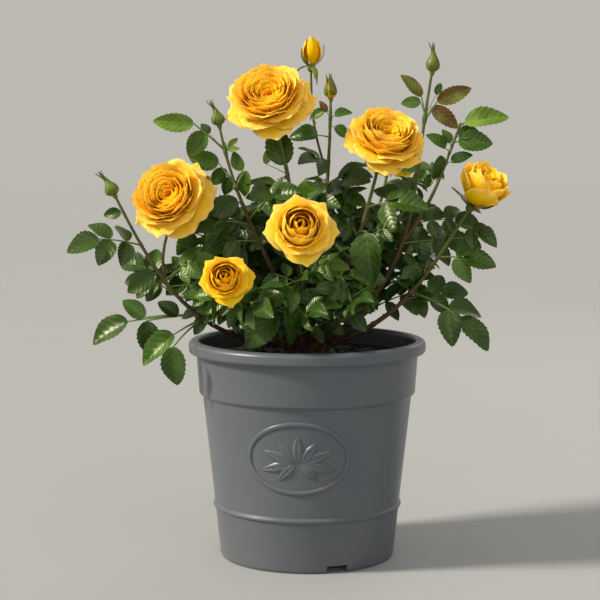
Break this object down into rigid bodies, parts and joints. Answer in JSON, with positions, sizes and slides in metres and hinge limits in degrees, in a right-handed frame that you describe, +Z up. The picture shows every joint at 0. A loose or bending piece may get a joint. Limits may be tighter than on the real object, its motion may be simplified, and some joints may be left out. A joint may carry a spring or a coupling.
{
  "type": "potted rose bush",
  "caption": "Patio rose bush in a round plastic pot: canes fan out from a short stock, with pinnate leaves, double blooms and buds.",
  "frame": {"origin": "centre of the pot's flat underside, which stands on the ground", "axes": "+Z up along the pot's axis; -Y is the front, the side with the pot's medallion that faces the camera in the picture; +X is to the right in the picture"},
  "size_m": [0.4471, 0.2913, 0.527],
  "materials": {
    "pot": "satin",
    "compost": "matte",
    "bark": "matte",
    "leaf": "satin",
    "petal": "matte",
    "bud": "matte"
  },
  "bodies": {
    "root": {"pot": "pot", "compost": "compost", "rose_stock": "bark", "cane_left": "bark", "cane_mid_left": "bark", "cane_centre": "bark", "cane_tall": "bark", "cane_right_centre": "bark", "cane_right": "bark", "cane_far_right": "bark", "cane_front": "bark", "cane_front_left": "bark", "cane_back_left": "bark", "cane_back": "bark", "cane_back_right": "bark", "bud_left": "bud", "bud_mid_left": "bud", "bloom_top": "petal", "bud_tall": "bud", "bloom_right": "petal", "bud_right": "bud", "bloom_half_open": "petal", "bloom_front": "petal", "bloom_front_left": "petal", "bloom_back_left": "petal", "bloom_back": "petal", "bloom_back_right": "petal", "bloom_left": "petal", "bud_top": "petal", "foliage_left": "leaf", "foliage_mid_left": "leaf", "foliage_centre": "leaf", "foliage_tall": "leaf", "foliage_right_centre": "leaf", "foliage_right": "leaf", "foliage_far_right": "leaf", "foliage_front": "leaf", "foliage_front_left": "leaf", "foliage_back_left": "leaf", "foliage_back": "leaf", "foliage_back_right": "leaf", "foliage_upper_right": "leaf", "foliage_left_front": "leaf", "foliage_front_low_left": "leaf", "foliage_front_low_right": "leaf", "foliage_right_front": "leaf", "foliage_right_back": "leaf", "foliage_back_low_right": "leaf", "foliage_back_low_left": "leaf", "foliage_left_back": "leaf"}
  },
  "joints": []
}
